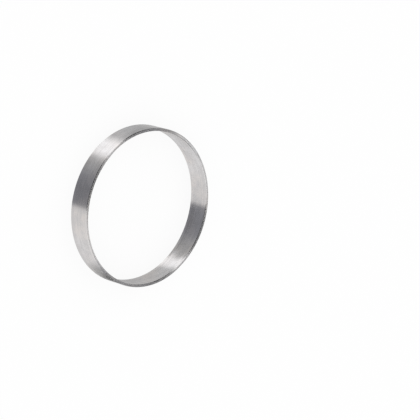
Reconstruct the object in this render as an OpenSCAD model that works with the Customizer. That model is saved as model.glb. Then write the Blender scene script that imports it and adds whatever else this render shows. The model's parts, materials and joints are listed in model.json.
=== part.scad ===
// Over-pressure ring: a thin steel band that lies round the rubber seal of a
// vacuum flange joint and keeps the seal in place when the pressure is inside.
// It lies on one end face, with its axis on Z. Sizes are in millimetres.

/* [Ring] */
// Bore diameter at the two lips, which goes round the seal
bore_d = 26; // [15:0.5:120]
// Wall thickness at the lips
wall = 0.5; // [0.4:0.05:2]
// Width from face to face, the gap that the flanges close to
ring_w = 3.9; // [3:0.1:12]
// Radius that breaks each of the four edges
edge_r = 0.1; // [0.04:0.01:0.15]

/* [Seat] */
// Depth of the shallow hollow in the bore, which centres the ring on the seal
seat_depth = 0.15; // [0.05:0.01:0.3]
// Width of each lip, from the face to the hollow
lip_w = 0.5; // [0.2:0.05:1]

/* [Hidden] */
// Facets of a full circle in the preview
$fn = 180;
bore_r = bore_d / 2;
// Half the width of the hollow, and the radius of its arc
seat_half = ring_w / 2 - lip_w;
seat_r = (pow(seat_half, 2) + pow(seat_depth, 2)) / (2 * seat_depth);

// Solid strip with its corners rounded, standing on the X axis
module rounded_strip(thick, tall, corner_r) {
    translate([0, corner_r])
        square([thick, tall - 2 * corner_r]);
    translate([corner_r, 0])
        square([thick - 2 * corner_r, tall]);
    for (x = [corner_r, thick - corner_r])
        for (y = [corner_r, tall - corner_r])
            translate([x, y])
                circle(r = corner_r);
}

// Section of the band: the strip at its radius, less the arc of the hollow
module section() {
    difference() {
        translate([bore_r, 0])
            rounded_strip(wall, ring_w, edge_r);
        translate([bore_r + seat_depth - seat_r, ring_w / 2])
            circle(r = seat_r);
    }
}

module ring() {
    color("silver")
        rotate_extrude()
            section();
}

ring();
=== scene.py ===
# Over-pressure ring: a thin band of turned steel, lying on a pale floor
import json
from math import cos, pi, radians, sin

import bpy
import numpy as np
from mathutils import Matrix, Vector


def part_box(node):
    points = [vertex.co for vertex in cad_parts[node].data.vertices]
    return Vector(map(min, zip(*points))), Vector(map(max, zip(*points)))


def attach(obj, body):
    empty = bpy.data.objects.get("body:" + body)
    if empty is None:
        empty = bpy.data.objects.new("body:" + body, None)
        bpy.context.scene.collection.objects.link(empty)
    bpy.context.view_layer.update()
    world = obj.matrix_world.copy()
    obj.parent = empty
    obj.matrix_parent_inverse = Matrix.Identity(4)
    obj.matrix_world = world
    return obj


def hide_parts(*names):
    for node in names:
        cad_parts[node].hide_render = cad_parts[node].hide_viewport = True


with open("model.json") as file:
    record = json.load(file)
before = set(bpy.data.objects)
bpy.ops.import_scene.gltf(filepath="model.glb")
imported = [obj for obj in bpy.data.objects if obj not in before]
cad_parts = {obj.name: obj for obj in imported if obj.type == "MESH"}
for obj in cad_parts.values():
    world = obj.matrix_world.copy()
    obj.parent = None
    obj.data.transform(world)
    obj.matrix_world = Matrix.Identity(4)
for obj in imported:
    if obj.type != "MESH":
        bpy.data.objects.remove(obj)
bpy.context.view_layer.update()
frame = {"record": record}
print("frame loaded")

ringLow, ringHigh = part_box("ring")
boreMount = next(mount for mount in frame["record"]["mounts"] if mount["name"] == "bore")
millimetre = 0.001
ringWidth = ringHigh[2] - ringLow[2]
outerRadius = (ringHigh[0] - ringLow[0]) / 2
boreRadius = boreMount["dims"]["r_mm"] * millimetre
# the bore's length stops short of each face by the radius on the edge there
edgeRadius = (ringWidth - boreMount["dims"]["length_mm"] * millimetre) / 2
ringCentre = Vector((0, 0, (ringLow[2] + ringHigh[2]) / 2))


class Sock:
    # an output socket that maths can be written with: each operator adds a Math node
    def __init__(self, graph, socket):
        self.graph = graph
        self.socket = socket

    def __add__(self, other):
        return self.graph.maths("ADD", self, other)

    def __radd__(self, other):
        return self.graph.maths("ADD", other, self)

    def __sub__(self, other):
        return self.graph.maths("SUBTRACT", self, other)

    def __rsub__(self, other):
        return self.graph.maths("SUBTRACT", other, self)

    def __mul__(self, other):
        return self.graph.maths("MULTIPLY", self, other)

    def __rmul__(self, other):
        return self.graph.maths("MULTIPLY", other, self)

    def __truediv__(self, other):
        return self.graph.maths("DIVIDE", self, other)

    def __rtruediv__(self, other):
        return self.graph.maths("DIVIDE", other, self)

    def __pow__(self, other):
        return self.graph.maths("POWER", self, other)

    def __abs__(self):
        return self.graph.maths("ABSOLUTE", self)


# a colour as a node takes it, and a grey one
def opaque(colour):
    return (*colour, 1)


def grey(level):
    return (level, level, level, 1)


class Graph:
    # a node tree: every node in it is added by one method
    def __init__(self, tree):
        self.tree = tree
        tree.nodes.clear()

    # adds a node: settings first, then a value or a link for each input, by name or number
    def node(self, kind, settings=None, inputs=None, out=0):
        made = self.tree.nodes.new(kind)
        for name, value in (settings or {}).items():
            if name == "stops":
                self.setStops(made.color_ramp, value)
            else:
                setattr(made, name, value)
        for name, value in (inputs or {}).items():
            if isinstance(value, Sock):
                self.tree.links.new(value.socket, made.inputs[name])
            else:
                made.inputs[name].default_value = value
        return Sock(self, made.outputs[out]) if made.outputs else made

    # a ramp's stops: place and colour, the two that it starts with used first
    def setStops(self, ramp, stops):
        while len(ramp.elements) < len(stops):
            ramp.elements.new(1)
        for element, (place, colour) in zip(ramp.elements, stops):
            element.position = place
            element.color = opaque(colour)

    def maths(self, operation, *values):
        return self.node("ShaderNodeMath", {"operation": operation}, dict(enumerate(values)))

    # 0 below low, 1 above high, an S-curve between
    def smooth(self, value, low, high):
        return self.node("ShaderNodeMapRange", {"interpolation_type": "SMOOTHSTEP"},
                         {"Value": value, "From Min": low, "From Max": high})

    def mixColour(self, factor, first, second):
        return self.node("ShaderNodeMix", {"data_type": "RGBA"}, {0: factor, 6: first, 7: second}, out=2)

    def vector(self, x, y, z):
        return self.node("ShaderNodeCombineXYZ", inputs={0: x, 1: y, 2: z})

    def split(self, vector):
        parts = self.node("ShaderNodeSeparateXYZ", inputs={0: vector})
        return [Sock(self, socket) for socket in parts.socket.node.outputs]

    def noise(self, vector, scale, detail):
        return self.node("ShaderNodeTexNoise", inputs={"Vector": vector, "Scale": scale, "Detail": detail})


# a new material, and its empty graph
def newMaterial(name):
    material = bpy.data.materials.new(name)
    material.use_nodes = True
    return material, Graph(material.node_tree)


camera = {
    "lens": 190.0,             # mm, on the 36 mm sensor
    "sensor": 36.0,            # mm
    "distance": 0.3707,        # m, from the ring's centre
    "elevation": 47.15,        # degrees above the floor
    "roll": 106.02,            # degrees: the photograph shows the ring's axis pointing right
    "frameSize": 420,          # px, the photograph's width and height
    "ringCentre": (141.06, 205.87),   # px, where the ring's centre falls, from the top left corner
}


# the direction from the ring to the camera, and the picture's right and up at the ring
def cameraAxes(values):
    rise, roll = radians(values["elevation"]), radians(values["roll"])
    view = Vector((0, -cos(rise), sin(rise)))
    level = Vector((1, 0, 0))
    upright = view.cross(level)
    right = cos(roll) * level + sin(roll) * upright
    up = cos(roll) * upright - sin(roll) * level
    return view, right, up


# the camera stands off along the view direction and aims beside the ring, so that the ring's centre
# falls at its pixel
def placeCamera(values):
    view, right, up = cameraAxes(values)
    size = values["frameSize"]
    metresPerPixel = values["distance"] * values["sensor"] / values["lens"] / size
    across = (size / 2 - values["ringCentre"][0]) * metresPerPixel
    upwards = (values["ringCentre"][1] - size / 2) * metresPerPixel
    place = ringCentre + values["distance"] * view
    backwards = (place - ringCentre - across * right - upwards * up).normalized()
    sideways = up.cross(backwards).normalized()
    turn = Matrix((sideways, backwards.cross(sideways), backwards)).transposed()

    data = bpy.data.cameras.new("camera")
    data.lens = values["lens"]
    data.sensor_width = values["sensor"]
    made = bpy.data.objects.new("camera", data)
    made.matrix_world = Matrix.Translation(place) @ turn.to_4x4()
    bpy.context.collection.objects.link(made)
    bpy.context.scene.camera = made


placeCamera(camera)
print("camera placed")


ringShape = {
    "seatDepth": 0.15 * millimetre,   # hollow in the bore
    "lipWidth": 0.5 * millimetre,     # from each face to the hollow
    "around": 720,                    # faces in a turn of the ring
    "edgeSpans": 8,                   # faces across each edge radius
    "seatSpans": 24,                  # faces across the hollow
    "spanLength": 0.12 * millimetre,  # about the width of a face on the straight runs
}


# a straight run of two spans or more: evenly spaced points from one to the other, without the last
def straightRun(start, end, spanLength):
    start, end = np.array(start), np.array(end)
    spans = max(2, int(np.ceil(np.linalg.norm(end - start) / spanLength)))
    share = np.arange(spans)[:, None] / spans
    return start + share * (end - start)


# an arc: centre plus radius times the cosine and sine of an angle that runs evenly, without the last
def arcRun(centre, radius, startAngle, endAngle, spans):
    angle = startAngle + (endAngle - startAngle) * np.arange(spans) / spans
    return np.array(centre) + radius * np.stack([np.cos(angle), np.sin(angle)], axis=1)


# the band's section as one closed loop of radius and height, with the steel on the left of its way:
# up the outer wall, in over the upper face, down the bore with its hollow, and out along the lower face
def bandSection(values):
    low, high = ringLow[2], ringHigh[2]
    outer, inner, edge = outerRadius, boreRadius, edgeRadius
    span = values["spanLength"]
    lipLow, lipHigh = low + values["lipWidth"], high - values["lipWidth"]
    halfSeat = (lipHigh - lipLow) / 2
    depth = values["seatDepth"]
    seatRadius = (halfSeat**2 + depth**2) / (2 * depth)
    seatCentre = (inner + depth - seatRadius, (low + high) / 2)
    seatAngle = np.arcsin(halfSeat / seatRadius)
    edgeSpans = values["edgeSpans"]
    return np.concatenate([
        straightRun((outer, low + edge), (outer, high - edge), span),
        arcRun((outer - edge, high - edge), edge, 0, pi / 2, edgeSpans),
        straightRun((outer - edge, high), (inner + edge, high), span),
        arcRun((inner + edge, high - edge), edge, pi / 2, pi, edgeSpans),
        straightRun((inner, high - edge), (inner, lipHigh), span),
        arcRun(seatCentre, seatRadius, seatAngle, -seatAngle, values["seatSpans"]),
        straightRun((inner, lipLow), (inner, low + edge), span),
        arcRun((inner + edge, low + edge), edge, pi, 1.5 * pi, edgeSpans),
        straightRun((inner + edge, low), (outer - edge, low), span),
        arcRun((outer - edge, low + edge), edge, 1.5 * pi, 2 * pi, edgeSpans),
    ])


# the section carried round the axis: (radius cos a, radius sin a, height) for every angle a of the turn,
# closed both ways
def revolve(name, section, around):
    angle = 2 * pi * np.arange(around)[:, None] / around
    radius, height = section[:, 0], section[:, 1]
    points = np.stack([radius * np.cos(angle), radius * np.sin(angle), height + 0 * angle], axis=-1)
    count = len(section)
    column, row = np.meshgrid(np.arange(around), np.arange(count), indexing="ij")
    nextColumn, nextRow = (column + 1) % around, (row + 1) % count
    faces = np.stack([column * count + row, nextColumn * count + row,
                      nextColumn * count + nextRow, column * count + nextRow], axis=-1).reshape(-1, 4)

    mesh = bpy.data.meshes.new(name)
    mesh.vertices.add(around * count)
    mesh.vertices.foreach_set("co", points.astype(np.float32).ravel())
    mesh.loops.add(faces.size)
    mesh.loops.foreach_set("vertex_index", faces.astype(np.int32).ravel())
    mesh.polygons.add(len(faces))
    mesh.polygons.foreach_set("loop_start", np.arange(0, faces.size, 4, dtype=np.int32))
    mesh.polygons.foreach_set("use_smooth", np.ones(len(faces), dtype=bool))
    mesh.update(calc_edges=True)
    made = bpy.data.objects.new(name, mesh)
    bpy.context.collection.objects.link(made)
    return made


ringSteel = {
    "tone": (0.72, 0.72, 0.73),         # bright turned steel, a little cool
    "warmTone": (0.735, 0.71, 0.695),   # and a little warm in places
    "dullTone": (0.635, 0.63, 0.635),   # where a faint haze lies on it
    "wornTone": (0.76, 0.76, 0.755),    # rubbed a little brighter along the edges
    "roughness": 0.22,
    "anisotropic": 0.88,
    "highlightTurn": 0.25,              # a quarter turn, so that highlights stretch across the lines
    # streaks round the band: the width of one, how many fit in a radian, how finely they are broken up, and
    # a shift that makes a pattern its own
    "lines": {"width": 0.05 * millimetre, "inRadian": 3, "detail": 3, "shift": 0},   # left by turning
    "bands": {"width": 0.32 * millimetre, "inRadian": 2, "detail": 2, "shift": 0},   # groups of such lines
    "marks": {"width": 0.09 * millimetre, "inRadian": 28, "detail": 0, "shift": 7},  # short hairlines
    # patches: their size, and how finely they are broken up
    "haze": {"size": 4 * millimetre, "detail": 3},
    "clouds": {"size": 1 * millimetre, "detail": 2},
    "tint": {"size": 5 * millimetre, "detail": 1},
    # where on a pattern's scale of 0 to 1 its effect starts, and where it is whole
    "marksRange": (0.70, 0.78),
    "tintRange": (0.35, 0.65),
    "dullRange": (0.40, 0.62),
    "wornRange": (0.36, 0.60),
    # how far each pattern counts in the dulled places, in the rubbed ones and in the roughness
    "dullShares": {"haze": 0.35, "bands": 0.35, "clouds": 0.30},
    "wornShares": {"haze": 0.5, "bands": 0.5},
    "roughShares": {"bands": 0.12, "haze": 0.10, "lines": 0.06, "worn": 0.06, "marks": 0.08},
    "wornMost": 0.8,                    # how near the rubbed edges come to their own tone
    "wearReach": (0.064 * millimetre, 0.16 * millimetre),   # fully rubbed up to one, untouched past the other
    "lineDepth": 0.004 * millimetre,
    "markDepth": 0.008 * millimetre,
    "bumpStrength": 0.2,                # share of the two depths above that shows
}
noiseMiddle = 0.5   # the mean of any noise pattern


def turnedSteel(name, values):
    material, graph = newMaterial(name)
    place = graph.node("ShaderNodeTexCoord", out="Object")
    x, y, z = graph.split(place)
    radius = (x * x + y * y) ** 0.5
    # across is the height on the walls and the radius on the faces, so lines run round the band on all
    across = z + radius

    # noise that is long round the band and narrow across it: a ring of directions, stretched
    def streaks(pattern):
        spot = graph.vector(x / radius * pattern["inRadian"] + pattern["shift"],
                            y / radius * pattern["inRadian"], across / pattern["width"])
        return graph.noise(spot, 1, pattern["detail"])

    def patches(pattern):
        return graph.noise(place, 1 / pattern["size"], pattern["detail"])

    lines = streaks(values["lines"])
    bands = streaks(values["bands"])
    marks = graph.smooth(streaks(values["marks"]), *values["marksRange"])
    haze = patches(values["haze"])
    clouds = patches(values["clouds"])
    tint = graph.smooth(patches(values["tint"]), *values["tintRange"])

    shares = values["dullShares"]
    dulled = haze * shares["haze"] + bands * shares["bands"] + clouds * shares["clouds"]
    dull = graph.smooth(dulled, *values["dullRange"])

    # distance from the nearest of the four edges: how far in from a wall, plus how far from a face
    fromWall = graph.maths("MINIMUM", abs(radius - outerRadius), abs(radius - boreRadius))
    fromFace = graph.maths("MINIMUM", z - ringLow[2], ringHigh[2] - z)
    edge = 1 - graph.smooth(fromWall + fromFace, *values["wearReach"])
    shares = values["wornShares"]
    rubbed = haze * shares["haze"] + bands * shares["bands"]
    worn = edge * graph.smooth(rubbed, *values["wornRange"])

    colour = graph.mixColour(tint, opaque(values["tone"]), opaque(values["warmTone"]))
    colour = graph.mixColour(dull, colour, opaque(values["dullTone"]))
    colour = graph.mixColour(worn * values["wornMost"], colour, opaque(values["wornTone"]))

    shares = values["roughShares"]
    roughness = (values["roughness"] + (bands - noiseMiddle) * shares["bands"]
                 + (haze - noiseMiddle) * shares["haze"] + (lines - noiseMiddle) * shares["lines"]
                 - worn * shares["worn"] + marks * shares["marks"])

    # the height is in metres, so the bump's distance is 1
    height = lines * values["lineDepth"] - marks * values["markDepth"]
    bump = graph.node("ShaderNodeBump", inputs={
        "Strength": values["bumpStrength"], "Distance": 1, "Height": height})
    steel = graph.node("ShaderNodeBsdfPrincipled", inputs={
        "Base Color": colour, "Metallic": 1, "Roughness": roughness, "Anisotropic": values["anisotropic"],
        "Anisotropic Rotation": values["highlightTurn"], "Normal": bump})
    graph.node("ShaderNodeOutputMaterial", inputs={"Surface": steel})
    return material


ring = revolve("ring_band", bandSection(ringShape), ringShape["around"])
ring.data.materials.append(turnedSteel("turnedSteel", ringSteel))
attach(ring, "root")
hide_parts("ring")
print("ring made:", len(ring.data.polygons), "faces")


# a flat sheet with four corners
def sheet(name, corners):
    mesh = bpy.data.meshes.new(name)
    mesh.from_pydata(corners, [], [(0, 1, 2, 3)])
    made = bpy.data.objects.new(name, mesh)
    bpy.context.collection.objects.link(made)
    return made


floorLook = {
    "size": 2.0,                  # m
    "tone": (0.94, 0.94, 0.94),
    "whiteShare": 0.90,           # how far it is plain white to the camera, which keeps the shadow faint
}


# a square at the height that the ring lies on
def makeFloor(values):
    half = values["size"] / 2
    floor = sheet("floor", [(-half, -half, 0), (half, -half, 0), (half, half, 0), (-half, half, 0)])
    floor.visible_glossy = False   # the steel mirrors the studio, not the floor

    material, graph = newMaterial("paleFloor")
    toCamera = graph.node("ShaderNodeLightPath", out="Is Camera Ray")
    paint = graph.node("ShaderNodeBsdfDiffuse", inputs={"Color": opaque(values["tone"])})
    glow = graph.node("ShaderNodeEmission", inputs={"Color": grey(1), "Strength": 1})
    both = graph.node("ShaderNodeMixShader", inputs={0: toCamera * values["whiteShare"], 1: paint, 2: glow})
    graph.node("ShaderNodeOutputMaterial", inputs={"Surface": both})
    floor.data.materials.append(material)


# small cards close to the ring that show only in the steel. corners: in mm. fades: the share of a side over
# which the card fades in or out, at the start and end of its first side, then of its second. level: how
# bright it is
softCards = {
    # low beside the outer wall on the right: painted shadow that only the steel mirrors, a dark dab and a
    # grey shade round it, as if a surface beside the wall lay in the band's shade
    "paintedShadowDab": {
        "corners": [(16.5, -2.0, -4), (15.3, 4.8, -4), (18.5, 9.5, -4), (23.0, -2.5, -4)],
        "fades": (0.40, 0.30, 0.12, 0.05),
        "level": 0.01,
    },
    "paintedShadowHalo": {
        "corners": [(15.8, -6.8, -4.5), (15.2, 4.4, -4.5), (18.5, 9.5, -4.5), (23.0, -5.5, -4.5)],
        "fades": (0.30, 0.65, 0.35, 0.05),
        "level": 0.42,
    },
    # and a shade low on the left
    "besideLeft": {
        "corners": [(-16.3, -9.0, -4.5), (-15.3, 2.0, -4.5), (-19.0, 6.0, -4.5), (-24.0, -8.5, -4.5)],
        "fades": (0.20, 0.40, 0.45, 0.05),
        "level": 0.45,
    },
    # two that narrow the bright strip in the bore
    "stripStart": {
        "corners": [(-42, -9.5, -22), (-2, 13.5, -22), (-4, 18, -22), (-37, 8, -22)],
        "fades": (0.05, 0.05, 0.2, 0.1),
        "level": 0.66,
    },
    "stripEnd": {
        "corners": [(-22, -7.2, -22), (-3, 11.4, -22), (-3.5, 5, -22), (-20, -18, -22)],
        "fades": (0.1, 0.05, 0.15, 0.2),
        "level": 0.45,
    },
    # over the upper face, to make it as light there as the bore beside it
    "overFace": {
        "corners": [(-9.8, 5.1, 9.8), (-8.0, 11.0, 9.8), (-13.9, 15.2, 9.8), (-17, 4.8, 9.8)],
        "fades": (0.35, 0.15, 0.1, 0.1),
        "level": 0.85,
    },
}


def makeCard(name, values):
    card = sheet(name, (np.array(values["corners"]) * millimetre).tolist())
    card.data.uv_layers.new(name="sides").data.foreach_set("uv", [0, 0, 1, 0, 1, 1, 0, 1])
    card.visible_camera = False
    card.visible_diffuse = False
    card.visible_shadow = False

    material, graph = newMaterial(name)
    first, second, _ = graph.split(graph.node("ShaderNodeTexCoord", out="UV"))
    firstStart, firstEnd, secondStart, secondEnd = values["fades"]
    cover = (graph.smooth(first, 0, firstStart) * graph.smooth(1 - first, 0, firstEnd)
             * graph.smooth(second, 0, secondStart) * graph.smooth(1 - second, 0, secondEnd))
    clear = graph.node("ShaderNodeBsdfTransparent")
    glow = graph.node("ShaderNodeEmission", inputs={"Color": grey(values["level"])})
    both = graph.node("ShaderNodeMixShader", inputs={0: cover, 1: clear, 2: glow})
    graph.node("ShaderNodeOutputMaterial", inputs={"Surface": both})
    card.data.materials.append(material)


studio = {
    "plain": 1.0,                # light on anything dull
    # what the steel mirrors, by the angle of its normal from the camera's side: degrees, level. the wall
    # cards show in the walls, the edge cards in the edges and the face cards in the upper face
    "wallCards": [(-90, 0.60), (-48, 0.62), (-43, 0.98), (-40, 1.26), (-31, 1.30), (-28, 1.05), (-24.5, 0.62),
                  (-21, 0.49), (-9, 0.30), (0, 0.27), (11.5, 0.30), (14.1, 0.84), (27, 0.86), (38, 0.90),
                  (90, 0.85)],
    "edgeCards": [(-90, 0.30), (-75, 0.01), (-46, 0.01), (-41, 1.10), (-32, 1.10), (-26, 0.01), (13, 0.01),
                  (15, 0.90), (52, 0.90), (60, 0.20), (68, 0.03), (80, 0.10), (90, 0.30)],
    "faceCards": [(-90, 0.42), (-72, 0.32), (-62, 0.05), (-47, 0.04), (-41, 1.25), (-30, 1.25), (-23, 0.10),
                  (-12, 0.04), (13, 0.04), (15, 0.97), (54, 1.00), (64, 0.28), (70, 0.14), (78, 0.22),
                  (90, 0.42)],
    "darkLevel": 0.4,            # a card darker than this is a little blue, and any other a little warm
    "darkTint": (0.98, 0.98, 1.05),
    "lightTint": (1.01, 0.995, 0.99),
    "hub": 0.68,                 # level where the cards meet, and straight overhead
    "hubReach": (0.15, 0.70),    # distance from that meeting point over which the cards come in
    # height of the mirrored ray, from -1 to 1, over which one set of cards gives way to the next
    "edgeRise": (-0.40, -0.10),
    "faceRise": (0.10, 0.50),
    "overheadRise": (0.98, 0.9985),
}


def makeStudio(values):
    view, _, _ = cameraAxes(camera)
    world = bpy.data.worlds.new("studio")
    bpy.context.scene.world = world
    world.use_nodes = True
    world.cycles.sampling_method = "NONE"
    graph = Graph(world.node_tree)
    away = graph.node("ShaderNodeTexCoord", out="Generated")
    x, y, z = graph.split(away)
    # halfway between the mirrored ray and the camera lies the normal of the steel that mirrors it
    back = -view.y - y
    angle = graph.maths("ARCTAN2", x, back)
    # the two halves of the turn are alike
    half = graph.maths("FLOORED_MODULO", angle / pi + 0.5, 1)

    def cards(levels):
        stops = []
        for degrees, level in levels:
            tint = values["darkTint"] if level < values["darkLevel"] else values["lightTint"]
            stops.append(((degrees + 90) / 180, [level * share for share in tint]))
        return graph.node("ShaderNodeValToRGB", {"stops": stops}, {"Fac": half})

    hub = grey(values["hub"])
    fromHub = graph.smooth((x * x + back * back) ** 0.5, *values["hubReach"])
    mirrored = graph.mixColour(fromHub, hub, cards(values["wallCards"]))
    mirrored = graph.mixColour(graph.smooth(z, *values["edgeRise"]), mirrored, cards(values["edgeCards"]))
    mirrored = graph.mixColour(graph.smooth(z, *values["faceRise"]), mirrored, cards(values["faceCards"]))
    mirrored = graph.mixColour(graph.smooth(z, *values["overheadRise"]), mirrored, hub)

    path = graph.node("ShaderNodeLightPath")
    flag = {output.name: Sock(graph, output) for output in path.socket.node.outputs}
    light = graph.mixColour(flag["Is Glossy Ray"], grey(values["plain"]), mirrored)
    light = graph.mixColour(flag["Is Camera Ray"], light, grey(1))
    background = graph.node("ShaderNodeBackground", inputs={"Color": light, "Strength": 1})
    graph.node("ShaderNodeOutputWorld", inputs={"Surface": background})


for name, values in softCards.items():
    makeCard(name, values)
makeFloor(floorLook)
makeStudio(studio)
bpy.context.scene.view_settings.view_transform = "Standard"
print("floor and studio made")
